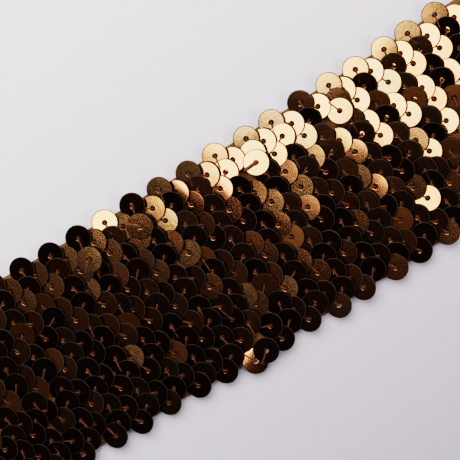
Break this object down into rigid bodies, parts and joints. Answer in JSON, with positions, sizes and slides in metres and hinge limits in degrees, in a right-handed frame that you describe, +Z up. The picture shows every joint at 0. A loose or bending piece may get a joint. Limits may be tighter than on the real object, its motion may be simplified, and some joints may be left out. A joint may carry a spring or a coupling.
{
  "type": "sequin trim",
  "caption": "Flat cut length of stretch sequin trim: zigzag rows of small flat metallic bronze sequins, overlapping like scales, sewn on a knitted tape.",
  "frame": {"origin": "middle of the tape's flat back", "axes": "+X along the trim, +Y across it, +Z up out of the sequins' faces"},
  "size_m": [0.1525, 0.0498, 0.0034],
  "materials": {
    "sequin_film": "metallised bronze film, glossy with a fine crackle",
    "knitted_tape": "brown knitted stretch tape",
    "sewing_thread": "shiny copper-brown thread"
  },
  "bodies": {
    "root": {"backing_tape": "knitted_tape", "sequin_row_1": "sequin_film", "sequin_row_2": "sequin_film", "sequin_row_3": "sequin_film", "sequin_row_4": "sequin_film", "sequin_row_5": "sequin_film"}
  },
  "joints": []
}
